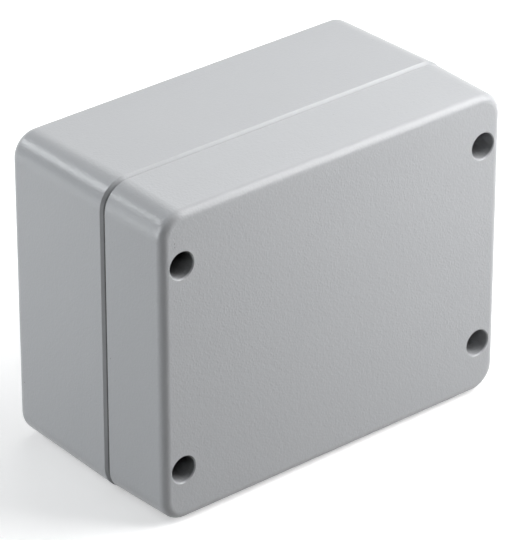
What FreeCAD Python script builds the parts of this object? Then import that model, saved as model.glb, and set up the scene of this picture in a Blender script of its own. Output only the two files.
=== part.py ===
import FreeCAD, Part
import math
import os
import Sketcher

# A die cast aluminium box in two castings: a deep base and a shallower lid, screwed together
# through four deep wells in the lid. It stands on a long side, as it does in use on a bench:
# X runs along the box, +Z is up, the lid faces -Y and the wall face of the base is +Y.
# The origin is under the middle of the box, on the surface that it stands on.
# Both castings are drafted, so the box is largest where they meet.

# Sizes in millimetres and degrees, each a cell of the sheet.
SIZES = {
    # outside of the two castings
    "width": 125,
    "height": 98,
    "base_depth": 43,
    "lid_depth": 23.8,
    "parting_gap": 0.2,
    "lid_inset": 0.3,
    "corner_radius": 8.5,
    "base_draft": 1.3,
    "lid_draft": 1.45,
    "back_edge_radius": 3,
    "rim_bevel": 1.7,
    "front_edge_radius": 2.5,
    # walls and hollows
    "core_draft": 0.5,
    "wall": 4,
    "base_floor": 4,
    "lid_front": 4,
    "partition": 3,
    "compartment_corner": 4.5,
    "channel_corner": 3,
    "floor_bevel": 1.5,
    # seal
    "tongue_width": 1.6,
    "tongue_height": 2.2,
    "groove_clearance": 0.5,
    "groove_depth": 3.6,
    "groove_flank": 1.2,
    "gasket_side_clearance": 0.05,
    "gasket_gap": 0.1,
    # captive screws, their wells in the lid and their pillars in the base
    "screw_inset_x": 7.75,
    "screw_inset_z": 17,
    "well_wall": 1.4,
    "pillar_bite": 0.15,
    "well_lip": 0.3,
    "shelf": 3.6,
    "thread_radius": 2,
    "thread_clearance": 0.05,
    "thread_pitch": 0.7,
    "release_turns": 10,
    "thread_length": 7,
    "shelf_hole_clearance": 0.3,
    "head_radius": 3.5,
    "head_clearance": 0.5,
    "head_height": 3.2,
    "slot_width": 1.2,
    "slot_depth": 1.4,
    "seat_clearance": 0.05,
    "neck_relief": 0.4,
    "ring_groove_depth": 0.3,
    "ring_thickness": 0.7,
    "ring_hold": 0.8,
    "ring_snap": 0.4,
    "ring_clearance": 0.05,
    "ring_stop_gap": 0.3,
    "ring_bore_clearance": 0.3,
    "thread_runout": 1,
    # wall fixing holes, outside the seal
    "fixing_radius": 2.3,
    # bosses
    "plate_inset_x": 11.5,
    "plate_inset_z": 15,
    "plate_boss_radius": 4,
    "plate_boss_height": 5,
    "lid_boss_inset_x": 16.5,
    "lid_boss_inset_z": 20,
    "lid_boss_radius": 3,
    "lid_boss_height": 5,
    "lid_thread_radius": 1.5,
    # earth terminal
    "earth_inset": 9,
    "earth_boss_radius": 4.5,
    "earth_boss_height": 8,
    "earth_screw_length": 9,
    "washer_margin": 0.2,
    "washer_thickness": 1,
    "washer_split": 0.8,
    "washer_hole_clearance": 0.2,
    "clamp_thickness": 1,
    "clamp_height": 8,
    "clamp_lip": 1.5,
    "clamp_clearance": 0.3,
}

# Places worked out from the sizes, as expressions of the sheet.
CENTRE_Z = "(Sizes.height / 2)"
BACK_Y = "((Sizes.base_depth + Sizes.parting_gap + Sizes.lid_depth) / 2)"
MOUTH_Y = f"({BACK_Y} - Sizes.base_depth)"
FLOOR_Y = f"({BACK_Y} - Sizes.base_floor)"
LID_MOUTH_Y = f"({MOUTH_Y} - Sizes.parting_gap)"
LID_FRONT_Y = f"({LID_MOUTH_Y} - Sizes.lid_depth)"
SHELF_Y = f"({LID_MOUTH_Y} - Sizes.shelf)"

# A lid screw's head turns in a well of the lid, whose tube stands on a pillar of the base.
SCREW_X = "(Sizes.width / 2 - Sizes.screw_inset_x)"
SCREW_Z = "(Sizes.height / 2 - Sizes.screw_inset_z)"
WELL_RADIUS = "(Sizes.head_radius + Sizes.head_clearance)"
PILLAR_RADIUS = f"({WELL_RADIUS} + Sizes.well_wall)"
SHELF_HOLE_RADIUS = "(Sizes.thread_radius + Sizes.shelf_hole_clearance)"
THREAD_HOLE_RADIUS = "(Sizes.thread_radius + Sizes.thread_clearance)"

# The channels outside the seal run along the two short sides. Each is as wide as the pillars
# that bridge it, with a partition between it and the sealed compartment.
CHANNEL_OUTER = "(Sizes.width / 2 - Sizes.wall)"
CHANNEL_INNER = f"({SCREW_X} - {PILLAR_RADIUS} + Sizes.pillar_bite)"
COMPARTMENT_X = f"({CHANNEL_INNER} - Sizes.partition)"
COMPARTMENT_Z = "(Sizes.height / 2 - Sizes.wall)"

# Each wall fixing hole is as far from a channel's end as from its sides.
FIXING_X = f"(({CHANNEL_OUTER} + {CHANNEL_INNER}) / 2)"
FIXING_Z = f"({COMPARTMENT_Z} - ({CHANNEL_OUTER} - {CHANNEL_INNER}) / 2)"
PLATE_X = f"({COMPARTMENT_X} - Sizes.plate_inset_x)"
PLATE_Z = f"({COMPARTMENT_Z} - Sizes.plate_inset_z)"
LID_BOSS_X = f"({COMPARTMENT_X} - Sizes.lid_boss_inset_x)"
LID_BOSS_Z = f"({COMPARTMENT_Z} - Sizes.lid_boss_inset_z)"

# The tongue stands flush with the compartment's walls, and the lid's groove is centred on it.
LID_LEDGE = "(Sizes.groove_clearance + Sizes.groove_flank)"

# The screw's neck reaches from its seat past the shelf and the gap, and by its travel, to the
# groove that its ring snaps into.
TRAVEL = "(Sizes.thread_pitch * Sizes.release_turns)"
NECK = f"(Sizes.shelf + Sizes.parting_gap + Sizes.seat_clearance + {TRAVEL} + Sizes.ring_stop_gap)"
NECK_END = f"({NECK} + Sizes.ring_thickness + 2 * Sizes.ring_clearance)"
SCREW_TIP = f"({NECK_END} + Sizes.thread_length)"
SEAT_Y = f"({SHELF_Y} - Sizes.seat_clearance)"
NECK_RADIUS = "(Sizes.thread_radius - Sizes.neck_relief)"
RING_GROOVE_RADIUS = f"({NECK_RADIUS} - Sizes.ring_groove_depth)"
RING_RADIUS = f"({SHELF_HOLE_RADIUS} + Sizes.ring_hold)"

# The earth terminal stands on a boss near the middle of the compartment's lower wall.
EARTH_TOP_Y = f"({FLOOR_Y} - Sizes.earth_boss_height)"
EARTH_Z = f"({CENTRE_Z} - {COMPARTMENT_Z} + Sizes.earth_inset)"
CLAMP_TOP_Y = f"({EARTH_TOP_Y} - Sizes.clamp_thickness)"
EARTH_SEAT_Y = f"({CLAMP_TOP_Y} - Sizes.washer_thickness)"
WASHER_RADIUS = "(Sizes.head_radius + Sizes.washer_margin)"
WASHER_HOLE_RADIUS = "(Sizes.thread_radius + Sizes.washer_hole_clearance)"

# Each screw was left at its own angle, in degrees.
LID_SCREW_TURNS = (20, 75, 130, 165)
EARTH_SCREW_TURN = 25

TINY = 0.001

doc = FreeCAD.newDocument("die_cast_box")
sheet = doc.addObject("Spreadsheet::Sheet", "Sizes")
for row, (name, size) in enumerate(SIZES.items(), start=1):
    sheet.set(f"A{row}", name)
    sheet.set(f"B{row}", str(size))
    sheet.setAlias(f"B{row}", name)
doc.recompute()


def value(expression):
    """The number that an expression of the sheet stands for."""
    return float(sheet.evalExpression(expression))


def new_body(label):
    body = doc.addObject("PartDesign::Body", label)
    body.Label = label
    return body


def origin_plane(body, role):
    for feature in body.Origin.OriginFeatures:
        if feature.Role == role:
            return feature
    raise LookupError(role)


def sketch_across(body, name, y="0", z="0"):
    """A sketch square to Y, with its own origin at the given Y and Z. It looks along +Y."""
    sketch = body.newObject("Sketcher::SketchObject", name)
    sketch.AttachmentSupport = [(origin_plane(body, "XZ_Plane"), "")]
    sketch.MapMode = "FlatFace"
    sketch.setExpression("AttachmentOffset.Base.z", f"-({y})")
    sketch.setExpression("AttachmentOffset.Base.y", z)
    return sketch


def place_point(sketch, index, end, x, y):
    """Ties one end of a sketch's line, or a circle's centre, to two expressions."""
    if x == "0":
        sketch.addConstraint(Sketcher.Constraint("PointOnObject", index, end, -2))
    else:
        at = sketch.addConstraint(Sketcher.Constraint("DistanceX", -1, 1, index, end, value(x)))
        sketch.setExpression(f"Constraints[{at}]", x)
    if y == "0":
        sketch.addConstraint(Sketcher.Constraint("PointOnObject", index, end, -1))
    else:
        at = sketch.addConstraint(Sketcher.Constraint("DistanceY", -1, 1, index, end, value(y)))
        sketch.setExpression(f"Constraints[{at}]", y)


def tie_radius(sketch, index, radius):
    at = sketch.addConstraint(Sketcher.Constraint("Radius", index, value(radius)))
    sketch.setExpression(f"Constraints[{at}]", radius)


def circle(sketch, x, z, radius):
    centre = FreeCAD.Vector(value(x), value(z), 0)
    ring = Part.Circle(centre, FreeCAD.Vector(0, 0, 1), value(radius))
    index = sketch.addGeometry(ring, False)
    place_point(sketch, index, 3, x, z)
    tie_radius(sketch, index, radius)


def four_circles(sketch, x, z, radius):
    """A circle in each quarter of the box, at the same distances from its middle."""
    for across in (f"-{x}", x):
        for up in (f"-{z}", z):
            circle(sketch, across, up, radius)


def outline(sketch, corners):
    """A closed outline of straight lines through corners, each a pair of expressions."""
    points = [FreeCAD.Vector(value(x), value(y), 0) for x, y in corners]
    lines = []
    for start, end in zip(points, points[1:] + points[:1]):
        lines.append(sketch.addGeometry(Part.LineSegment(start, end), False))
    for line, following in zip(lines, lines[1:] + lines[:1]):
        sketch.addConstraint(Sketcher.Constraint("Coincident", line, 2, following, 1))
    for line, (x, y) in zip(lines, corners):
        place_point(sketch, line, 1, x, y)


def rounded_rectangle(sketch, left, right, bottom, top, radius):
    """A rectangle between four expressions, its corners rounded to one radius."""
    x0, x1, y0, y1, r = (value(size) for size in (left, right, bottom, top, radius))
    up = FreeCAD.Vector(0, 0, 1)
    sides = [
        ((x0 + r, y0), (x1 - r, y0)),
        ((x1, y0 + r), (x1, y1 - r)),
        ((x1 - r, y1), (x0 + r, y1)),
        ((x0, y1 - r), (x0, y0 + r)),
    ]
    centres = [(x1 - r, y0 + r), (x1 - r, y1 - r), (x0 + r, y1 - r), (x0 + r, y0 + r)]
    quarter = math.pi / 2
    lines = []
    arcs = []
    for step, ((start, end), centre) in enumerate(zip(sides, centres)):
        side = Part.LineSegment(FreeCAD.Vector(*start, 0), FreeCAD.Vector(*end, 0))
        bend = Part.Circle(FreeCAD.Vector(*centre, 0), up, r)
        lines.append(sketch.addGeometry(side, False))
        arc = Part.ArcOfCircle(bend, (step - 1) * quarter, step * quarter)
        arcs.append(sketch.addGeometry(arc, False))
    for step in range(4):
        following = lines[(step + 1) % 4]
        sketch.addConstraint(Sketcher.Constraint("Tangent", lines[step], 2, arcs[step], 1))
        sketch.addConstraint(Sketcher.Constraint("Tangent", arcs[step], 2, following, 1))
    for line in (lines[0], lines[2]):
        sketch.addConstraint(Sketcher.Constraint("Horizontal", line))
    for line in (lines[1], lines[3]):
        sketch.addConstraint(Sketcher.Constraint("Vertical", line))
    for arc in arcs[1:]:
        sketch.addConstraint(Sketcher.Constraint("Equal", arcs[0], arc))
    tie_radius(sketch, arcs[0], radius)
    for kind, line, place in (
        ("DistanceY", lines[0], bottom),
        ("DistanceX", lines[1], right),
        ("DistanceY", lines[2], top),
        ("DistanceX", lines[3], left),
    ):
        at = sketch.addConstraint(Sketcher.Constraint(kind, -1, 1, line, 1, value(place)))
        sketch.setExpression(f"Constraints[{at}]", place)


def centred_rectangle(sketch, half_width, half_height, radius):
    rounded_rectangle(
        sketch, f"-{half_width}", half_width, f"-{half_height}", half_height, radius
    )


def grown_rectangle(sketch, growth):
    """The compartment's outline at the base's mouth, grown by an expression on every side."""
    centred_rectangle(
        sketch,
        f"({COMPARTMENT_X} + {growth})",
        f"({COMPARTMENT_Z} + {growth})",
        f"(Sizes.compartment_corner + {growth})",
    )


def extrude(kind, body, sketch, length, forward, draft=None):
    """A pad or pocket from a sketch across the box: forward is towards the lid's front, -Y."""
    feature = body.newObject(f"PartDesign::{kind}", f"{sketch.Name}_{kind}".lower())
    feature.Profile = sketch
    feature.setExpression("Length", length)
    feature.Reversed = (kind == "Pocket") == forward
    if draft:
        feature.setExpression("TaperAngle", f"-{draft}")
    sketch.Visibility = False
    doc.recompute()
    return feature


def pad(body, sketch, length, forward, draft=None):
    return extrude("Pad", body, sketch, length, forward, draft)


def pocket(body, sketch, length, forward, draft=None):
    before = body.Shape.Volume
    feature = extrude("Pocket", body, sketch, length, forward, draft)
    if feature.Shape.Volume > before - TINY:
        raise ValueError(f"{feature.Label} cuts nothing")
    return feature


def edges_at(shape, y, keep=lambda box: True):
    """The names of the edges that lie wholly in the plane at y and that keep accepts."""
    names = []
    for number, edge in enumerate(shape.Edges, start=1):
        box = edge.BoundBox
        flat = abs(box.YMin - y) < TINY and abs(box.YMax - y) < TINY
        if flat and keep(box):
            names.append(f"Edge{number}")
    return names


def finish_edges(kind, setting, body, y, size, keep):
    base = body.Tip
    names = edges_at(base.Shape, value(y), keep)
    feature = body.newObject(f"PartDesign::{kind}", f"{body.Name}_{kind}".lower())
    feature.Base = (base, names)
    feature.setExpression(setting, size)
    doc.recompute()


def round_edges(body, y, radius, keep=lambda box: True):
    finish_edges("Fillet", "Radius", body, y, radius, keep)


def bevel_edges(body, y, size, keep=lambda box: True):
    finish_edges("Chamfer", "Size", body, y, size, keep)


def channels(body, y, length, forward, inner):
    """The pockets along the two short sides, outside the seal, where the lid screws stand."""
    sketch = sketch_across(body, f"{body.Name}_channels", y, CENTRE_Z)
    for left, right in ((f"-{CHANNEL_OUTER}", f"-{inner}"), (inner, CHANNEL_OUTER)):
        rounded_rectangle(
            sketch, left, right, f"-{COMPARTMENT_Z}", COMPARTMENT_Z, "Sizes.channel_corner"
        )
    pocket(body, sketch, length, forward)


def make_base():
    """The deep casting: drafted shell, compartment, channels, pillars, bosses and tongue."""
    body = new_body("base_casting")

    shell = sketch_across(body, "base_shell", MOUTH_Y, CENTRE_Z)
    centred_rectangle(shell, "(Sizes.width / 2)", "(Sizes.height / 2)", "Sizes.corner_radius")
    pad(body, shell, "Sizes.base_depth", False, "Sizes.base_draft")
    round_edges(body, BACK_Y, "Sizes.back_edge_radius")
    bevel_edges(body, MOUTH_Y, "Sizes.rim_bevel")

    inside = "Sizes.base_depth - Sizes.base_floor"
    compartment = sketch_across(body, "base_compartment", MOUTH_Y, CENTRE_Z)
    grown_rectangle(compartment, "0")
    pocket(body, compartment, inside, False, "Sizes.core_draft")
    bevel_edges(body, FLOOR_Y, "Sizes.floor_bevel")
    channels(body, MOUTH_Y, inside, False, CHANNEL_INNER)

    # the pillars run down into the floor, with room at their tops for the screws' rings
    pillars = sketch_across(body, "screw_pillars", MOUTH_Y, CENTRE_Z)
    four_circles(pillars, SCREW_X, SCREW_Z, PILLAR_RADIUS)
    pad(body, pillars, f"{inside} + Sizes.base_floor / 2", False)
    ring_wells = sketch_across(body, "ring_wells", MOUTH_Y, CENTRE_Z)
    four_circles(ring_wells, SCREW_X, SCREW_Z, f"({RING_RADIUS} + Sizes.ring_bore_clearance)")
    ring_well = f"({NECK_END} + {SEAT_Y} - {MOUTH_Y} + Sizes.ring_stop_gap)"
    pocket(body, ring_wells, ring_well, False)
    threads = sketch_across(body, "screw_threads", MOUTH_Y, CENTRE_Z)
    four_circles(threads, SCREW_X, SCREW_Z, THREAD_HOLE_RADIUS)
    pocket(body, threads, f"{ring_well} + Sizes.thread_length + Sizes.thread_runout", False)

    fixings = sketch_across(body, "wall_fixings", BACK_Y, CENTRE_Z)
    four_circles(fixings, FIXING_X, FIXING_Z, "Sizes.fixing_radius")
    pocket(body, fixings, "2 * Sizes.base_floor", True)

    # each boss carries its blind thread half way into the floor
    bosses_y = f"({FLOOR_Y} - Sizes.plate_boss_height)"
    boss_depth = "Sizes.plate_boss_height + Sizes.base_floor / 2"
    bosses = sketch_across(body, "plate_bosses", bosses_y, CENTRE_Z)
    four_circles(bosses, PLATE_X, PLATE_Z, "Sizes.plate_boss_radius")
    pad(body, bosses, boss_depth, False)
    boss_threads = sketch_across(body, "plate_threads", bosses_y, CENTRE_Z)
    four_circles(boss_threads, PLATE_X, PLATE_Z, THREAD_HOLE_RADIUS)
    pocket(body, boss_threads, boss_depth, False)

    earth = sketch_across(body, "earth_boss", EARTH_TOP_Y, EARTH_Z)
    circle(earth, "0", "0", "Sizes.earth_boss_radius")
    pad(body, earth, "Sizes.earth_boss_height + Sizes.base_floor / 2", False)
    earth_thread = sketch_across(body, "earth_thread", EARTH_TOP_Y, EARTH_Z)
    circle(earth_thread, "0", "0", THREAD_HOLE_RADIUS)
    earth_grip = "Sizes.earth_screw_length - Sizes.washer_thickness - Sizes.clamp_thickness"
    pocket(body, earth_thread, f"{earth_grip} + Sizes.thread_runout", False)

    tongue = sketch_across(body, "tongue", MOUTH_Y, CENTRE_Z)
    grown_rectangle(tongue, "Sizes.tongue_width")
    grown_rectangle(tongue, "0")
    pad(body, tongue, "Sizes.tongue_height", True)
    return body


def make_lid():
    """The shallow casting: drafted shell, compartment, channels, screw wells and groove."""
    body = new_body("lid_casting")

    shell = sketch_across(body, "lid_shell", LID_MOUTH_Y, CENTRE_Z)
    centred_rectangle(
        shell,
        "(Sizes.width / 2 - Sizes.lid_inset)",
        "(Sizes.height / 2 - Sizes.lid_inset)",
        "(Sizes.corner_radius - Sizes.lid_inset)",
    )
    pad(body, shell, "Sizes.lid_depth", True, "Sizes.lid_draft")
    round_edges(body, LID_FRONT_Y, "Sizes.front_edge_radius")

    inside = "Sizes.lid_depth - Sizes.lid_front"
    compartment = sketch_across(body, "lid_compartment", LID_MOUTH_Y, CENTRE_Z)
    grown_rectangle(compartment, f"-{LID_LEDGE}")
    pocket(body, compartment, inside, True, "Sizes.core_draft")
    bevel_edges(body, f"({LID_FRONT_Y} + Sizes.lid_front)", "Sizes.floor_bevel")
    outer_flank = f"({COMPARTMENT_X} + Sizes.tongue_width + {LID_LEDGE})"
    channels(body, LID_MOUTH_Y, inside, True, outer_flank)

    # each well is a deep bore from the front, with a holed shelf at its end for the head
    tubes = sketch_across(body, "well_tubes", LID_MOUTH_Y, CENTRE_Z)
    four_circles(tubes, SCREW_X, SCREW_Z, PILLAR_RADIUS)
    pad(body, tubes, f"{inside} + Sizes.lid_front / 2", True)
    wells = sketch_across(body, "screw_wells", LID_FRONT_Y, CENTRE_Z)
    four_circles(wells, SCREW_X, SCREW_Z, WELL_RADIUS)
    pocket(body, wells, "Sizes.lid_depth - Sizes.shelf", False)
    widest = 2 * value(WELL_RADIUS) + TINY
    bevel_edges(body, LID_FRONT_Y, "Sizes.well_lip", lambda box: box.XLength < widest)
    shelf_holes = sketch_across(body, "shelf_holes", LID_MOUTH_Y, CENTRE_Z)
    four_circles(shelf_holes, SCREW_X, SCREW_Z, SHELF_HOLE_RADIUS)
    pocket(body, shelf_holes, "2 * Sizes.shelf", True)

    bosses_y = f"({LID_FRONT_Y} + Sizes.lid_front + Sizes.lid_boss_height)"
    bosses = sketch_across(body, "lid_bosses", bosses_y, CENTRE_Z)
    four_circles(bosses, LID_BOSS_X, LID_BOSS_Z, "Sizes.lid_boss_radius")
    pad(body, bosses, "Sizes.lid_boss_height + Sizes.lid_front / 2", True)
    threads = sketch_across(body, "lid_threads", bosses_y, CENTRE_Z)
    four_circles(threads, LID_BOSS_X, LID_BOSS_Z, "Sizes.lid_thread_radius")
    pocket(body, threads, "Sizes.lid_boss_height + Sizes.lid_front / 4", True)

    groove = sketch_across(body, "gasket_groove", LID_MOUTH_Y, CENTRE_Z)
    grown_rectangle(groove, "(Sizes.tongue_width + Sizes.groove_clearance)")
    grown_rectangle(groove, "-Sizes.groove_clearance")
    pocket(body, groove, "Sizes.groove_depth", True)
    return body


def make_gasket():
    """The endless rubber cord on the groove's floor, which the tongue bears on."""
    body = new_body("lid_gasket")
    floor_y = f"({LID_MOUTH_Y} - Sizes.groove_depth)"
    cord = sketch_across(body, "gasket_cord", floor_y, CENTRE_Z)
    clearance = "(Sizes.groove_clearance - Sizes.gasket_side_clearance)"
    grown_rectangle(cord, f"(Sizes.tongue_width + {clearance})")
    grown_rectangle(cord, f"-{clearance}")
    room = "Sizes.groove_depth + Sizes.parting_gap - Sizes.tongue_height"
    pad(body, cord, f"{room} - Sizes.gasket_gap", False)
    return body


def place(body, x, y, z, turn=0):
    """Puts a body at three expressions, turned about its own Y axis by an angle."""
    spin = FreeCAD.Rotation(FreeCAD.Vector(0, 1, 0), turn)
    body.Placement = FreeCAD.Placement(FreeCAD.Vector(0, 0, 0), spin)
    body.setExpression("Placement.Base.x", x)
    body.setExpression("Placement.Base.y", y)
    body.setExpression("Placement.Base.z", z)


def turned(body, name, corners):
    """A turned piece: corners are pairs of radius and distance along the body's own Y axis."""
    sketch = body.newObject("Sketcher::SketchObject", name)
    sketch.AttachmentSupport = [(origin_plane(body, "XY_Plane"), "")]
    sketch.MapMode = "FlatFace"
    outline(sketch, corners)
    feature = body.newObject("PartDesign::Revolution", f"{name}_revolution")
    feature.Profile = sketch
    feature.ReferenceAxis = (sketch, ["V_Axis"])
    feature.Angle = 360
    sketch.Visibility = False
    doc.recompute()
    return feature


def cut_slot(body, top_y):
    """The driver's slot, across a screw's head."""
    slot = sketch_across(body, f"{body.Name}_slot", top_y)
    half_width = "(Sizes.slot_width / 2)"
    reach = "(2 * Sizes.head_radius)"
    corners = [
        (f"-{reach}", f"-{half_width}"),
        (reach, f"-{half_width}"),
        (reach, half_width),
        (f"-{reach}", half_width),
    ]
    outline(slot, corners)
    pocket(body, slot, "Sizes.slot_depth", False)


def head_corners():
    return [
        ("0", "-Sizes.head_height"),
        ("Sizes.head_radius", "-Sizes.head_height"),
        ("Sizes.head_radius", "0"),
    ]


def make_lid_screw(label, x, z, turn):
    """A captive screw: cheese head on the lid's shelf, thin neck, ring groove and thread."""
    body = new_body(label)
    corners = head_corners() + [
        (NECK_RADIUS, "0"),
        (NECK_RADIUS, NECK),
        (RING_GROOVE_RADIUS, NECK),
        (RING_GROOVE_RADIUS, NECK_END),
        ("Sizes.thread_radius", NECK_END),
        ("Sizes.thread_radius", SCREW_TIP),
        ("0", SCREW_TIP),
    ]
    turned(body, f"{label}_profile", corners)
    cut_slot(body, "-Sizes.head_height")
    place(body, x, SEAT_Y, z, turn)
    return body


def open_side(body, half_width, reach, thickness):
    """Cuts a flat ring open on one side."""
    mouth = sketch_across(body, f"{body.Name}_mouth")
    corners = [
        ("0", f"-{half_width}"),
        (reach, f"-{half_width}"),
        (reach, half_width),
        ("0", half_width),
    ]
    outline(mouth, corners)
    pocket(body, mouth, thickness, False)


def make_screw_ring(label, x, z, turn):
    """The open ring snapped on the screw's neck, which stops at the shelf and keeps the screw."""
    body = new_body(label)
    disc = sketch_across(body, f"{label}_disc")
    circle(disc, "0", "0", RING_RADIUS)
    circle(disc, "0", "0", f"({RING_GROOVE_RADIUS} + Sizes.ring_clearance)")
    pad(body, disc, "Sizes.ring_thickness", False)
    half_mouth = f"({RING_GROOVE_RADIUS} - Sizes.ring_snap / 2)"
    open_side(body, half_mouth, f"(2 * {RING_RADIUS})", "Sizes.ring_thickness")
    place(body, x, f"({SEAT_Y} + {NECK} + Sizes.ring_clearance)", z, turn)
    return body


def make_earth_screw():
    """The cheese head screw of the earth terminal, in the base's threaded boss."""
    body = new_body("earth_screw")
    end = "Sizes.earth_screw_length"
    corners = head_corners() + [
        ("Sizes.thread_radius", "0"),
        ("Sizes.thread_radius", end),
        ("0", end),
    ]
    turned(body, "earth_screw_profile", corners)
    cut_slot(body, "-Sizes.head_height")
    place(body, "0", EARTH_SEAT_Y, EARTH_Z, EARTH_SCREW_TURN)
    return body


def make_earth_washer():
    """The split spring washer under the earth screw's head."""
    body = new_body("earth_washer")
    disc = sketch_across(body, "earth_washer_disc")
    circle(disc, "0", "0", WASHER_RADIUS)
    circle(disc, "0", "0", WASHER_HOLE_RADIUS)
    pad(body, disc, "Sizes.washer_thickness", False)
    half_split = "(Sizes.washer_split / 2)"
    open_side(body, half_split, f"(2 * {WASHER_RADIUS})", "Sizes.washer_thickness")
    place(body, "0", EARTH_SEAT_Y, EARTH_Z, EARTH_SCREW_TURN)
    return body


def make_earth_clamp():
    """The saddle that holds the earth wire on the boss, with a lip down each side of it."""
    body = new_body("earth_clamp")
    inner = "(Sizes.earth_boss_radius + Sizes.clamp_clearance)"
    outer = f"({inner} + Sizes.clamp_thickness)"
    lip_end = "(Sizes.clamp_thickness + Sizes.clamp_lip)"
    profile = body.newObject("Sketcher::SketchObject", "clamp_profile")
    profile.AttachmentSupport = [(origin_plane(body, "XY_Plane"), "")]
    profile.MapMode = "FlatFace"
    corners = [
        (f"-{outer}", "0"),
        (outer, "0"),
        (outer, lip_end),
        (inner, lip_end),
        (inner, "Sizes.clamp_thickness"),
        (f"-{inner}", "Sizes.clamp_thickness"),
        (f"-{inner}", lip_end),
        (f"-{outer}", lip_end),
    ]
    outline(profile, corners)
    saddle = body.newObject("PartDesign::Pad", "clamp_saddle")
    saddle.Profile = profile
    saddle.setExpression("Length", "Sizes.clamp_height")
    saddle.Midplane = True
    profile.Visibility = False
    doc.recompute()
    hole = sketch_across(body, "clamp_hole")
    circle(hole, "0", "0", WASHER_HOLE_RADIUS)
    pocket(body, hole, "Sizes.clamp_thickness", False)
    place(body, "0", CLAMP_TOP_Y, EARTH_Z)
    return body


def make_screws():
    """The four captive screws, each with its ring."""
    bodies = []
    left, right = f"-{SCREW_X}", SCREW_X
    lower, upper = f"({CENTRE_Z} - {SCREW_Z})", f"({CENTRE_Z} + {SCREW_Z})"
    places = {
        "lower_left": (left, lower),
        "upper_left": (left, upper),
        "lower_right": (right, lower),
        "upper_right": (right, upper),
    }
    for (corner, (x, z)), turn in zip(places.items(), LID_SCREW_TURNS):
        bodies.append(make_lid_screw(f"lid_screw_{corner}", x, z, turn))
        bodies.append(make_screw_ring(f"screw_ring_{corner}", x, z, -turn))
    return bodies


def check(bodies):
    """Every object is up to date, and every sub-part is one valid solid."""
    for thing in doc.Objects:
        if "Invalid" in thing.State or "Error" in thing.State:
            raise ValueError(f"{thing.Label} failed: {thing.State}")
    for body in bodies:
        if body.Shape.isNull() or not body.Shape.isValid() or len(body.Shape.Solids) != 1:
            raise ValueError(f"{body.Label} is not one valid solid")


def main():
    bodies = [make_base(), make_lid(), make_gasket()]
    bodies += make_screws()
    bodies += [make_earth_screw(), make_earth_washer(), make_earth_clamp()]
    doc.recompute()
    check(bodies)
    os.makedirs("parts", exist_ok=True)
    for body in bodies:
        body.Shape.exportStep(f"parts/{body.Label}.step")
        box = body.Shape.BoundBox
        print(
            f"{body.Label}: {body.Shape.Volume / 1000:.3f} cm3,"
            f" X {box.XMin:.2f} {box.XMax:.2f}, Y {box.YMin:.2f} {box.YMax:.2f},"
            f" Z {box.ZMin:.2f} {box.ZMax:.2f}"
        )


main()
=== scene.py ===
import math

import bmesh
import bpy
from mathutils import Matrix, Vector


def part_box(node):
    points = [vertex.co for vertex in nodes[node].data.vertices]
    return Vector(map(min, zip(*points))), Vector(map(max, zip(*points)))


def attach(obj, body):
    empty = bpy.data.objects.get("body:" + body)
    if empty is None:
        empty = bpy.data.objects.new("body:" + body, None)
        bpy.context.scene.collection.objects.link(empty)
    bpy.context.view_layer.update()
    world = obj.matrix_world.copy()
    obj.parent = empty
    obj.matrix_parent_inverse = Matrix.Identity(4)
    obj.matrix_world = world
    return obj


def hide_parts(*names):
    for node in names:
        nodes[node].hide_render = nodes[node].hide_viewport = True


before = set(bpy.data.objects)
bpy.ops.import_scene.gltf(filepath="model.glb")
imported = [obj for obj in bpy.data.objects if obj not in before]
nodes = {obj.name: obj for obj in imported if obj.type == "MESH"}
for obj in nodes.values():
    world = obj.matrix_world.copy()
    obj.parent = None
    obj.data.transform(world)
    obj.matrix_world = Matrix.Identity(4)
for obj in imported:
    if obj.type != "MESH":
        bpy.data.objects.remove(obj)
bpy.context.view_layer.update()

# The two castings: a deep base and a shallower lid, die cast in aluminium, bare inside and
# coated light grey outside with a satin powder that has flowed out to a fine orange peel.
# The coat runs over the rims and thins out down the deep wells of the lid's screws, where the
# metal below it is painted near black as shade.
MM = 0.001
GREY = (0.458, 0.467, 0.481, 1)
GREY_DARKER = (0.440, 0.450, 0.466, 1)
TONE_SIZE = 26 * MM
PEEL_LUMP = 1.1 * MM
PEEL_FINE = 0.6 * MM
PEEL_DEPTH = 0.085 * MM
SPECK = (0.16, 0.16, 0.16, 1)
SPECK_RADIUS = 0.3 * MM
SPECK_CORE = 0.12 * MM
SPECKS_MM = (
    (-57.2, -33.5, 88.6), (-57.2, -33.5, 87.5), (-62.2, -11.0, 45.2), (-61.6, 30.0, 19.0),
)
# painted shade of the seam beside the lid's edge, faded out along the top
JOINT_SHADE = (0.05, 0.05, 0.05, 1)
JOINT_SHADE_REACH = 1.3 * MM
JOINT_SHADE_CORE = 1.0 * MM
JOINT_SHADE_EDGE = 0.03 * MM
ALUMINIUM = (0.60, 0.605, 0.61, 1)
ALUMINIUM_DARKER = (0.46, 0.465, 0.475, 1)
FLOW_SIZE = 9 * MM
GRAIN_SIZE = 0.6 * MM
# painted shade: the near-black colour of the bare metal deep in the lid's wells
WELL_METAL_SHADE = (0.012, 0.012, 0.012, 1)
WELL_FADE = (-2 * MM, 7.5 * MM)
WELL_FADE_LUMP = 1.5 * MM
WELL_FADE_RAGGED = 2 * MM
WELL_FADE_SLANT = 1.5
WELL_FADE_DEEPER_RIGHT = 3.5 * MM
WELL_CLEARANCE = 0.5 * MM
WELL_END = 3 * MM
CORNER_RADIUS = 8.5 * MM
COATED_WALL = 2.4 * MM
COATED_FLOOR = 2 * MM
COAT_EDGE = 0.3 * MM

base_low, base_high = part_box("base_casting")
lid_low, lid_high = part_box("lid_casting")
middle_z = (base_low.z + base_high.z) / 2
screw_low, screw_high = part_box("lid_screw_upper_right")
screw_x = (screw_low.x + screw_high.x) / 2
screw_z = (screw_low.z + screw_high.z) / 2 - middle_z
well_radius = (screw_high.x - screw_low.x) / 2 + WELL_CLEARANCE


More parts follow.
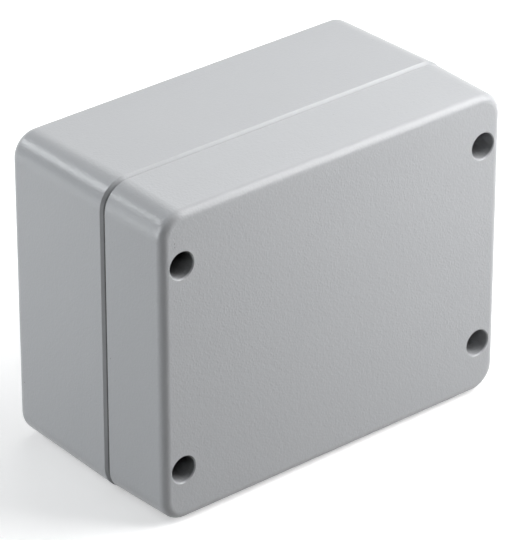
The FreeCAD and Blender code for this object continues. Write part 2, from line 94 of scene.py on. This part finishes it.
class Wire:
    """An output in a node tree. Sums of wires and numbers add Math nodes to the tree."""

    def __init__(self, tree, socket):
        self.tree = tree
        self.socket = socket

    def other(self, name):
        """Another output of the same node."""
        return Wire(self.tree, self.socket.node.outputs[name])

    def math(self, operation, *terms):
        node = self.tree.nodes.new("ShaderNodeMath")
        node.operation = operation
        for socket, term in zip(node.inputs, terms):
            feed(self.tree, socket, term)
        return Wire(self.tree, node.outputs[0])

    def __add__(self, term):
        return self.math("ADD", self, term)

    def __radd__(self, term):
        return self.math("ADD", term, self)

    def __sub__(self, term):
        return self.math("SUBTRACT", self, term)

    def __rsub__(self, term):
        return self.math("SUBTRACT", term, self)

    def __mul__(self, term):
        return self.math("MULTIPLY", self, term)

    def __rmul__(self, term):
        return self.math("MULTIPLY", term, self)

    def __truediv__(self, term):
        return self.math("DIVIDE", self, term)

    def __pow__(self, term):
        return self.math("POWER", self, term)

    def __abs__(self):
        return self.math("ABSOLUTE", self)

    def sine(self):
        return self.math("SINE", self)

    def sign(self):
        return self.math("SIGN", self)

    def at_most(self, term):
        return self.math("MINIMUM", self, term)

    def at_least(self, term):
        return self.math("MAXIMUM", self, term)


def feed(tree, socket, value):
    """Gives a socket a wire or a plain value."""
    if isinstance(value, Wire):
        tree.links.new(value.socket, socket)
    else:
        socket.default_value = value


class Tree:
    """A tree of nodes for a finish or a shape."""

    def __init__(self, tree):
        self.tree = tree
        tree.nodes.clear()

    def add(self, kind, settings=None, values=None, output=0):
        """Adds a node of any kind. Sockets go by their identifiers."""
        node = self.tree.nodes.new(kind)
        for key, setting in (settings or {}).items():
            setattr(node, key, setting)
        sockets = {socket.identifier: socket for socket in node.inputs}
        for key, value in (values or {}).items():
            feed(self.tree, sockets[key], value)
        return Wire(self.tree, node.outputs[output]) if len(node.outputs) else None

    def step(self, wire, start, end):
        """0 at start and 1 at end, with a smooth rise between."""
        values = {"Value": wire, "From Min": start, "From Max": end}
        return self.add("ShaderNodeMapRange", {"interpolation_type": "SMOOTHSTEP"}, values)


class Finish(Tree):
    """A material built from nodes, in the object's own coordinates."""

    def __init__(self, name):
        self.material = bpy.data.materials.new(name)
        self.material.use_nodes = True
        super().__init__(self.material.node_tree)
        self.place = self.add("ShaderNodeTexCoord").other("Object")
        self.x = self.add("ShaderNodeSeparateXYZ", values={"Vector": self.place})
        self.y = self.x.other("Y")
        self.z = self.x.other("Z")

    def noise(self, size, detail=2, roughness=0.5):
        """Soft lumps of about the given size in metres, from 0 to 1."""
        values = {"Vector": self.place, "Scale": 1 / size, "Detail": detail}
        return self.add("ShaderNodeTexNoise", values={**values, "Roughness": roughness})

    def blend(self, factor, first, second):
        """A colour between two colours."""
        values = {"Factor_Float": factor, "A_Color": first, "B_Color": second}
        return self.add("ShaderNodeMix", {"data_type": "RGBA"}, values, output=2)

    def bump(self, height, depth):
        """A surface raised by height, which is 0 to 1, times a depth in metres."""
        values = {"Height": height, "Distance": depth, "Strength": 1.0}
        return self.add("ShaderNodeBump", values=values)

    def close(self, **values):
        """Ends the finish in one shader. Sockets go by their names, with _ for a space."""
        sockets = {key.replace("_", " "): value for key, value in values.items()}
        shader = self.add("ShaderNodeBsdfPrincipled", values=sockets)
        self.add("ShaderNodeOutputMaterial", values={"Surface": shader})
        return self.material


def coated_casting():
    """Powder coat outside and bare cast metal inside, told apart by place."""
    finish = Finish("powder_coat_on_cast_aluminium")
    side, height = abs(finish.x), abs(finish.z - middle_z)

    # bare: within the walls and their round corners, where no powder reaches
    edge = COAT_EDGE
    across = (side - (base_high.x - CORNER_RADIUS)).at_least(0.0)
    up = (height - (base_high.z - middle_z - CORNER_RADIUS)).at_least(0.0)
    outwards = (across ** 2 + up ** 2) ** 0.5
    inner = CORNER_RADIUS - COATED_WALL
    front, back = lid_low.y + COATED_FLOOR, base_high.y - COATED_FLOOR
    bare = finish.step(outwards, inner + edge, inner - edge)
    bare = bare * finish.step(finish.y, front - edge, front + edge)
    bare = bare * finish.step(finish.y, back + edge, back - edge)

    # wells: the powder thins out some way down, reaching deepest along the bottom of each well
    # and in the wells on the right; below it the bare metal is painted near black, a painted
    # shade that this tilt keeps off the lit bottom walls
    off_axis = ((side - screw_x) ** 2 + (height - screw_z) ** 2) ** 0.5
    well = finish.step(off_axis, well_radius + 2 * edge, well_radius + edge)
    well_end = screw_low.y + WELL_END
    well = well * finish.step(finish.y, well_end + 1 * MM, well_end)
    ragged = (finish.noise(WELL_FADE_LUMP) - 0.5) * WELL_FADE_RAGGED
    above_axis = (finish.z - middle_z).sign() * (height - screw_z)
    deeper = finish.step(finish.x, -10 * MM, 10 * MM) * WELL_FADE_DEEPER_RIGHT
    depth = finish.y - lid_low.y + ragged + above_axis * WELL_FADE_SLANT - deeper
    bare = bare * (1 - well) + well * finish.step(depth, *WELL_FADE)

    # coat: flowed-out powder, slightly uneven in tone, with a few specks of dust in it
    lumps = finish.noise(PEEL_LUMP, 1)
    fine = finish.noise(PEEL_FINE, 0)
    powder = finish.blend(finish.noise(TONE_SIZE) * 0.8 + fine * 0.2, GREY, GREY_DARKER)
    dust = 0
    for x, y, z in SPECKS_MM:
        off = (finish.x - x * MM) ** 2 + (finish.y - y * MM) ** 2 + (finish.z - z * MM) ** 2
        dust = dust + finish.step(off ** 0.5, SPECK_RADIUS, SPECK_CORE)
    powder = finish.blend(dust * 0.6, powder, SPECK)

    # joint: painted shade in the seam beside the lid's edge, faded out along the top, where
    # light reaches into it
    behind = finish.y - lid_high.y
    joint = finish.step(behind, -JOINT_SHADE_EDGE, JOINT_SHADE_EDGE)
    joint = joint * finish.step(behind, JOINT_SHADE_REACH, JOINT_SHADE_CORE)
    lit_top = finish.step(finish.z, base_high.z - CORNER_RADIUS, base_high.z)
    powder = finish.blend(joint * (1 - lit_top * 0.9), powder, JOINT_SHADE)

    # casting: dull metal with the flow marks of the melt
    flow = finish.noise(FLOW_SIZE, 4, 0.6)
    grain = finish.noise(GRAIN_SIZE, 3, 0.6)
    metal = finish.blend(flow * 0.7 + grain * 0.3, ALUMINIUM, ALUMINIUM_DARKER)
    # painted shade: deep in the wells the bare metal turns near black
    metal = finish.blend(well, metal, WELL_METAL_SHADE)

    coat = 1 - bare
    relief = (lumps * 0.5 + fine * 0.5) * coat + grain * bare
    return finish.close(
        Base_Color=finish.blend(bare, powder, metal),
        Metallic=bare,
        Roughness=bare * (0.34 + flow * 0.2) + coat * (0.27 + fine * 0.04),
        Normal=finish.bump(relief, PEEL_DEPTH),
    )


def put_finish(name, material):
    """A CAD node's own mesh takes a finish."""
    nodes[name].data.materials.clear()
    nodes[name].data.materials.append(material)


casting_finish = coated_casting()
for name in ("base_casting", "lid_casting"):
    put_finish(name, casting_finish)

# The seal: an endless cord of black rubber, moulded with rounded edges, laid in the lid's
# groove. The base's tongue presses into it when the lid is screwed down.
RUBBER = (0.022, 0.022, 0.023, 1)
RUBBER_BLOOM = (0.034, 0.034, 0.035, 1)
SEAL_WIDTH = 2.5 * MM
SEAL_BEND = 7.35 * MM
SEAL_ROUNDING = 0.32


def linked(name, mesh):
    """A new object in the scene."""
    piece = bpy.data.objects.new(name, mesh)
    bpy.context.scene.collection.objects.link(piece)
    return piece


def settled(piece):
    """A plain mesh of what a piece's modifiers make."""
    bpy.context.view_layer.update()
    made = piece.evaluated_get(bpy.context.evaluated_depsgraph_get())
    mesh = bpy.data.meshes.new_from_object(made)
    piece.modifiers.clear()
    return mesh


class Shape(Tree):
    """A tree of geometry nodes with named sizes."""

    def __init__(self, name, **sizes):
        super().__init__(bpy.data.node_groups.new(name, "GeometryNodeTree"))
        self.name = name
        interface = self.tree.interface
        interface.new_socket("Geometry", in_out="OUTPUT", socket_type="NodeSocketGeometry")
        self.values = {}
        for size, value in sizes.items():
            socket = interface.new_socket(size, in_out="INPUT", socket_type="NodeSocketFloat")
            self.values[socket.identifier] = value
        self.given = self.add("NodeGroupInput")

    def __getitem__(self, size):
        """The wire of a named size."""
        return self.given.other(size)

    def moved(self, geometry, x=0.0, y=0.0, z=0.0):
        place = self.add("ShaderNodeCombineXYZ", values={"X": x, "Y": y, "Z": z})
        values = {"Geometry": geometry, "Translation": place}
        return self.add("GeometryNodeTransform", values=values)

    def laid_along_y(self, geometry):
        """Turns a shape drawn with its axis along Z so that its axis runs along Y."""
        values = {"Geometry": geometry, "Rotation": (-math.pi / 2, 0, 0)}
        return self.add("GeometryNodeTransform", values=values)

    def made(self, geometry, material, smooth=True):
        """Runs the tree with its sizes and returns a plain mesh."""
        values = {"Geometry": geometry, "Shade Smooth": smooth}
        geometry = self.add("GeometryNodeSetShadeSmooth", values=values)
        geometry = self.add("GeometryNodeRealizeInstances", values={"Geometry": geometry})
        values = {"Geometry": geometry, "Material": material}
        geometry = self.add("GeometryNodeSetMaterial", values=values)
        end = self.tree.nodes.new("NodeGroupOutput")
        feed(self.tree, end.inputs[0], geometry)
        maker = linked(self.name, bpy.data.meshes.new(self.name))
        modifier = maker.modifiers.new(self.name, "NODES")
        modifier.node_group = self.tree
        for identifier, value in self.values.items():
            modifier[identifier] = value
        mesh = settled(maker)
        bpy.data.objects.remove(maker)
        mesh.name = self.name
        return mesh


def black_rubber():
    finish = Finish("black_rubber")
    bloom = finish.noise(7 * MM, 3)
    return finish.close(
        Base_Color=finish.blend(bloom, RUBBER, RUBBER_BLOOM),
        Roughness=0.58 + bloom * 0.14,
        Normal=finish.bump(finish.noise(0.25 * MM), 0.015 * MM),
    )


def seal():
    """A rounded section swept round the groove."""
    low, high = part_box("lid_gasket")
    shape = Shape(
        "seal_cord", across=high.x - low.x, up=high.z - low.z, height=high.y - low.y,
        width=SEAL_WIDTH, bend=SEAL_BEND,
    )
    values = {"Width": shape["across"] - shape["width"], "Height": shape["up"] - shape["width"]}
    path = shape.add("GeometryNodeCurvePrimitiveQuadrilateral", values=values)
    values = {"Curve": path, "Radius": shape["bend"] - shape["width"] / 2, "Count": 10}
    path = shape.add("GeometryNodeFilletCurve", {"mode": "POLY"}, values)
    values = {"Width": shape["width"], "Height": shape["height"]}
    section = shape.add("GeometryNodeCurvePrimitiveQuadrilateral", values=values)
    values = {"Curve": section, "Radius": shape["height"] * SEAL_ROUNDING, "Count": 5}
    section = shape.add("GeometryNodeFilletCurve", {"mode": "POLY"}, values)
    values = {"Curve": path, "Profile Curve": section}
    cord = shape.laid_along_y(shape.add("GeometryNodeCurveToMesh", values=values))
    cord = shape.moved(cord, y=(low.y + high.y) / 2, z=middle_z)
    return shape.made(cord, black_rubber())


gasket = linked("seal_cord", seal())
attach(gasket, "lid")
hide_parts("lid_gasket")

# The lid's screws: four captive screws of turned stainless steel at the bottom of the wells.
# Each has a cheese head with a milled slot, a neck thinner than its rolled thread, so that it
# can draw back out of the base, and a retaining ring snapped on below the lid's shelf.
STEEL = (0.56, 0.55, 0.53, 1)
STEEL_DARKER = (0.42, 0.415, 0.40, 1)
HEAD_RADIUS = 3.5 * MM
HEAD_HEIGHT = 3.2 * MM
HEAD_CHAMFER = 0.3 * MM
SLOT_WIDTH = 1.2 * MM
SLOT_DEPTH = 1.4 * MM
NECK_RADIUS = 1.6 * MM
RING_GROOVE_RADIUS = 1.3 * MM
THREAD_RADIUS = 2 * MM
THREAD_PITCH = 0.7 * MM
THREAD_DEPTH = 0.36 * MM
THREAD_CORE = THREAD_RADIUS - THREAD_DEPTH
THREAD_FLAT = 1.3
THREAD_RUNOUT = 0.8
THREAD_ROWS = 10
LID_THREAD_LENGTH = 7 * MM
LID_SCREW_TURNS = {"lower_left": 20, "upper_left": 75, "lower_right": 130, "upper_right": 165}
SLOT_EDGE = 0.1 * MM
SHARP = math.radians(35)
RING_PLAY = 0.1 * MM
AROUND = 48


def turning_marks(finish, across, up, light, dark):
    """Ends a metal finish with fine rings round an axis, where both wires are 0."""
    off_axis = (across ** 2 + up ** 2) ** 0.5
    wander = finish.noise(1.4 * MM) * 4
    rings = (off_axis * (2 * math.pi / (0.16 * MM)) + wander).sine() * 0.5 + 0.5
    stain = finish.noise(2.5 * MM, 3)
    return finish.close(
        Base_Color=finish.blend(stain, light, dark),
        Metallic=1.0,
        Roughness=0.24 + rings * 0.10 + stain * 0.10,
        Normal=finish.bump(rings, 0.004 * MM),
    )


def lathed(outline, material):
    """A closed solid turned about Y, from corners of radius and distance along Y."""
    shell = bmesh.new()
    rows = []
    for radius, along in outline:
        count = AROUND if radius else 1
        turns = [2 * math.pi * step / count for step in range(count)]
        corners = [(radius * math.cos(t), along, radius * math.sin(t)) for t in turns]
        rows.append([shell.verts.new(corner) for corner in corners])
    for near, far in zip(rows, rows[1:]):
        for step in range(AROUND):
            ahead = step + 1
            corners = [near[step % len(near)], far[step % len(far)]]
            corners += [far[ahead % len(far)], near[ahead % len(near)]]
            shell.faces.new(list(dict.fromkeys(corners)))
    bmesh.ops.recalc_face_normals(shell, faces=shell.faces)
    mesh = bpy.data.meshes.new("turned")
    shell.to_mesh(mesh)
    shell.free()
    mesh.materials.append(material)
    return mesh


def slotted(head, turn):
    """Mills the driver's slot across a head, softens the edges and turns it about Y."""
    cutter = bmesh.new()
    bmesh.ops.create_cube(cutter, size=1)
    size = (3 * HEAD_RADIUS, 2 * SLOT_DEPTH, SLOT_WIDTH)
    bmesh.ops.scale(cutter, vec=size, verts=cutter.verts)
    bmesh.ops.translate(cutter, vec=(0, -HEAD_HEIGHT, 0), verts=cutter.verts)
    blade = linked("blade", bpy.data.meshes.new("blade"))
    cutter.to_mesh(blade.data)
    cutter.free()
    piece = linked("head", head)
    cut = piece.modifiers.new("slot", "BOOLEAN")
    cut.operation = "DIFFERENCE"
    cut.solver = "EXACT"
    cut.object = blade
    soften = piece.modifiers.new("edges", "BEVEL")
    soften.width = SLOT_EDGE
    soften.segments = 2
    soften.limit_method = "ANGLE"
    soften.angle_limit = SHARP
    mesh = settled(piece)
    bpy.data.objects.remove(piece)
    bpy.data.objects.remove(blade)
    mesh.transform(Matrix.Rotation(math.radians(turn), 4, "Y"))
    return mesh


def rolled_thread(name, start, end, material):
    """A closed bar whose surface follows the helix, with flat crests and tapered ends."""
    shape = Shape(
        name, start=start, length=end - start, radius=THREAD_RADIUS, depth=THREAD_DEPTH,
        pitch=THREAD_PITCH,
    )
    rows = round(THREAD_ROWS * (end - start) / THREAD_PITCH)
    values = {"Vertices": AROUND, "Side Segments": rows}
    values.update({"Radius": shape["radius"], "Depth": shape["length"]})
    bar = shape.add("GeometryNodeMeshCylinder", {"fill_type": "TRIANGLE_FAN"}, values)
    position = shape.add("GeometryNodeInputPosition")
    x = shape.add("ShaderNodeSeparateXYZ", values={"Vector": position})
    y, z = x.other("Y"), x.other("Z")
    turn = x.math("ARCTAN2", y, x) / (2 * math.pi)
    flank = x.math("PINGPONG", z / shape["pitch"] - turn, 0.5) * 2
    ends = ((shape["length"] / 2 - abs(z)) / (shape["pitch"] * THREAD_RUNOUT)).at_most(1.0)
    sunk = shape["depth"] * (1 - (flank * THREAD_FLAT).at_most(1.0) * ends)
    scale = 1 - sunk / shape["radius"]
    spread = shape.add("ShaderNodeCombineXYZ", values={"X": x * scale, "Y": y * scale, "Z": z})
    bar = shape.add("GeometryNodeSetPosition", values={"Geometry": bar, "Position": spread})
    bar = shape.moved(shape.laid_along_y(bar), y=shape["start"] + shape["length"] / 2)
    return shape.made(bar, material)


def cheese_head_screw(name, neck, thread, turn, node, material):
    """A screw in place of a CAD node. Its head ends where the neck begins, at 0."""
    rim = HEAD_RADIUS - HEAD_CHAMFER
    outline = [(0, -HEAD_HEIGHT), (rim, -HEAD_HEIGHT), (HEAD_RADIUS, HEAD_CHAMFER - HEAD_HEIGHT)]
    outline += [(HEAD_RADIUS, -HEAD_CHAMFER), (rim, 0), *neck, (0, neck[-1][1])]
    whole = bmesh.new()
    whole.from_mesh(slotted(lathed(outline, material), turn))
    whole.from_mesh(rolled_thread(f"{name}_thread", *thread, material))
    low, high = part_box(node)
    seat = Vector(((low.x + high.x) / 2, low.y + HEAD_HEIGHT, (low.z + high.z) / 2))
    bmesh.ops.translate(whole, vec=seat, verts=whole.verts)
    mesh = bpy.data.meshes.new(name)
    whole.to_mesh(mesh)
    whole.free()
    mesh.materials.append(material)
    mesh.shade_smooth()
    mesh.set_sharp_from_angle(angle=SHARP)
    screw = linked(name, mesh)
    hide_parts(node)
    return screw


steel_finish = Finish("turned_stainless_steel")
screw_across = abs(steel_finish.x) - screw_x
screw_up = abs(steel_finish.z - middle_z) - screw_z
steel = turning_marks(steel_finish, screw_across, screw_up, STEEL, STEEL_DARKER)

ring_low, ring_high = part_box("screw_ring_upper_right")
lid_screw_length = screw_high.y - screw_low.y - HEAD_HEIGHT
thread_start = lid_screw_length - LID_THREAD_LENGTH
groove_start = thread_start - (ring_high.y - ring_low.y) - RING_PLAY
lid_screw_neck = [
    (NECK_RADIUS, 0), (NECK_RADIUS, groove_start), (RING_GROOVE_RADIUS, groove_start),
    (RING_GROOVE_RADIUS, thread_start), (THREAD_CORE, thread_start),
    (THREAD_CORE, thread_start + 1 * MM),
]
for corner, turn in LID_SCREW_TURNS.items():
    screw = cheese_head_screw(
        f"captive_screw_with_slot_{corner}", lid_screw_neck, (thread_start, lid_screw_length),
        turn, f"lid_screw_{corner}", steel,
    )
    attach(screw, f"captive_screw_{corner}")
    put_finish(f"screw_ring_{corner}", steel)

# The earth terminal: a zinc plated screw, a sprung washer and a pressed brass clamp on a cast
# boss near the base's lower wall. The washer is a turn of square wire with its ends apart.
ZINC = (0.62, 0.64, 0.66, 1)
ZINC_DARKER = (0.45, 0.48, 0.53, 1)
BRASS = (0.62, 0.44, 0.17, 1)
BRASS_DARKER = (0.47, 0.32, 0.12, 1)
EARTH_SCREW_TURN = 25
EARTH_NECK = 2 * MM
EARTH_THREAD_START = 0.4 * MM
WASHER_HOLE = 2.2 * MM
WASHER_WIRE = 0.8 * MM
WASHER_EDGE = 0.08 * MM
WASHER_TURN = 0.955

earth_low, earth_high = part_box("earth_screw")
earth_z = (earth_low.z + earth_high.z) / 2
zinc_finish = Finish("zinc_plated_steel")
zinc = turning_marks(zinc_finish, zinc_finish.x, zinc_finish.z - earth_z, ZINC, ZINC_DARKER)
earth_length = earth_high.y - earth_low.y - HEAD_HEIGHT
earth_screw = cheese_head_screw(
    "earth_screw_with_slot", [(THREAD_CORE, 0), (THREAD_CORE, EARTH_NECK)],
    (EARTH_THREAD_START, earth_length), EARTH_SCREW_TURN, "earth_screw", zinc,
)
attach(earth_screw, "base")


def sprung_washer():
    """A turn of square wire whose ends stand apart by what the clamp leaves."""
    low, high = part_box("earth_washer")
    shape = Shape(
        "sprung_washer", outer=(high.x - low.x) / 2, hole=WASHER_HOLE, wire=WASHER_WIRE,
        height=high.y - low.y,
    )
    middle = (shape["outer"] + shape["hole"]) / 2
    values = {"Resolution": 40, "Rotations": WASHER_TURN}
    values.update({"Start Radius": middle, "End Radius": middle})
    values["Height"] = shape["height"] - shape["wire"]
    coil = shape.add("GeometryNodeCurveSpiral", values=values)
    coil = shape.add("GeometryNodeSetCurveNormal", {"mode": "Z_UP"}, {"Curve": coil})
    values = {"Width": shape["outer"] - shape["hole"], "Height": shape["wire"]}
    section = shape.add("GeometryNodeCurvePrimitiveQuadrilateral", values=values)
    values = {"Curve": section, "Radius": WASHER_EDGE, "Count": 2}
    section = shape.add("GeometryNodeFilletCurve", {"mode": "POLY"}, values)
    values = {"Curve": coil, "Profile Curve": section, "Fill Caps": True}
    ring = shape.laid_along_y(shape.add("GeometryNodeCurveToMesh", values=values))
    ring = shape.moved(ring, y=low.y + shape["wire"] / 2, z=earth_z)
    return shape.made(ring, zinc, smooth=False)


def pressed_brass():
    finish = Finish("pressed_brass")
    stain = finish.noise(3 * MM, 4, 0.6)
    return finish.close(
        Base_Color=finish.blend(stain, BRASS, BRASS_DARKER),
        Metallic=1.0,
        Roughness=0.26 + stain * 0.16,
        Normal=finish.bump(finish.noise(0.3 * MM), 0.006 * MM),
    )


washer = linked("sprung_washer", sprung_washer())
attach(washer, "base")
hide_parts("earth_washer")
put_finish("earth_clamp", pressed_brass())

# The studio: a wide pale floor with a white backdrop behind it, soft lamps in front and behind
# on the right, cooler ones behind on the left, and a long lens from the front left and above.
FLOOR_SIZE = 8.0
FLOOR_SEEN = (0.90, 0.90, 0.90, 1)
FLOOR_BOUNCE = (0.16, 0.16, 0.16, 1)
FLOOR_GLOW = 0.36
FLOOR_FADE = (0.3, 0.8)
AMBIENT = 0.10
BACKDROP_TOP = (0.63, 0.53)
BACKDROP_EDGE = (0.35, 0.65)
CAMERA_AZIMUTH = -39.92
CAMERA_ELEVATION = 28.83
CAMERA_DISTANCE = 1.19135
CAMERA_LENS = 279.35
CAMERA_SIDE = -0.000235
CAMERA_RISE = -0.002311
COOL_WHITE = (0.975, 1.0, 1.015)
WHITE = (1, 1, 1)
LAMPS = {
    # azimuth, elevation, distance, size, watts, colour
    "near": (45, 25, 0.45, (0.3, 0.3), 1.83, WHITE),
    "high": (55, 60, 0.7, (0.45, 0.45), 1.48, WHITE),
    "right": (68, 50, 0.8, (0.35, 0.35), 1.65, WHITE),
    "back": (135, 48, 1.0, (0.6, 0.6), 1.83, WHITE),
    "left": (-113, 10, 0.8, (0.3, 0.5), 3.3, COOL_WHITE),
    "left_back": (-146, 32, 0.8, (0.35, 0.12), 1.35, COOL_WHITE),
}

box_middle = Vector((0, 0, middle_z))


def direction(azimuth, elevation):
    """From the box outwards: azimuth 0 is in front of the lid and 90 is on its right."""
    a, e = math.radians(azimuth), math.radians(elevation)
    return Vector((math.sin(a) * math.cos(e), -math.cos(a) * math.cos(e), math.sin(e)))


def placed(name, thing, place, outwards):
    """A lamp or camera at a place, looking against the outward direction."""
    holder = linked(name, thing)
    holder.location = place
    holder.rotation_euler = (-outwards).to_track_quat("-Z", "Y").to_euler()
    return holder


def seen(tree):
    """1 for what the camera or a reflection looks at, and 0 for light that only bounces."""
    path = tree.add("ShaderNodeLightPath")
    direct = path.other("Is Camera Ray") + path.other("Is Glossy Ray")
    return (direct + path.other("Is Transmission Ray")).at_most(1.0)


def pale_floor():
    finish = Finish("pale_floor")
    looked_at = seen(finish)
    colour = finish.blend(looked_at, FLOOR_BOUNCE, FLOOR_SEEN)
    far = finish.step((finish.x ** 2 + finish.y ** 2) ** 0.5, *FLOOR_FADE)
    glow = looked_at * (FLOOR_GLOW + far * (1 - FLOOR_GLOW))
    material = finish.close(
        Base_Color=colour, Roughness=0.9, Emission_Strength=1.0,
        Emission_Color=finish.blend(glow, (0, 0, 0, 1), (1, 1, 1, 1)),
    )
    mesh = bpy.data.meshes.new("floor")
    half = FLOOR_SIZE / 2
    corners = [(-half, -half, 0), (half, -half, 0), (half, half, 0), (-half, half, 0)]
    mesh.from_pydata(corners, [], [(0, 1, 2, 3)])
    mesh.materials.append(material)
    return mesh


def surroundings():
    """White to the camera, and in gloss only where the backdrop stands behind the box."""
    world = bpy.data.worlds.new("surroundings")
    world.use_nodes = True
    sky = Tree(world.node_tree)
    x = sky.add("ShaderNodeSeparateXYZ", values={"Vector": sky.add("ShaderNodeTexCoord")})
    y, z = x.other("Y"), x.other("Z")
    behind = -direction(CAMERA_AZIMUTH, 0)
    turn = (x * behind.x + y * behind.y) / (x * x + y * y) ** 0.5
    backdrop = sky.step(z, *BACKDROP_TOP) * sky.step(turn, *BACKDROP_EDGE)
    path = sky.add("ShaderNodeLightPath")
    glossy = path.other("Is Glossy Ray")
    clear = (path.other("Is Camera Ray") + path.other("Is Transmission Ray")).at_most(1.0)
    strength = clear + (1 - clear) * (glossy * backdrop + (1 - glossy) * AMBIENT)
    light = sky.add("ShaderNodeBackground", values={"Color": (1, 1, 1, 1), "Strength": strength})
    sky.add("ShaderNodeOutputWorld", values={"Surface": light})
    return world


linked("floor", pale_floor())
bpy.context.scene.world = surroundings()
for name, (azimuth, elevation, distance, size, watts, colour) in LAMPS.items():
    light = bpy.data.lights.new(name, "AREA")
    light.shape = "RECTANGLE"
    light.size, light.size_y = size
    light.energy = watts
    light.color = colour
    outwards = direction(azimuth, elevation)
    placed(name, light, box_middle + outwards * distance, outwards)

lens = bpy.data.cameras.new("camera")
lens.lens = CAMERA_LENS
lens.sensor_width = 36
lens.clip_start = 0.01
outwards = direction(CAMERA_AZIMUTH, CAMERA_ELEVATION)
across = direction(CAMERA_AZIMUTH + 90, 0)
rise = outwards.cross(across)
place = box_middle + outwards * CAMERA_DISTANCE + across * CAMERA_SIDE + rise * CAMERA_RISE
bpy.context.scene.camera = placed("camera", lens, place, outwards)
bpy.context.scene.view_settings.view_transform = "Standard"
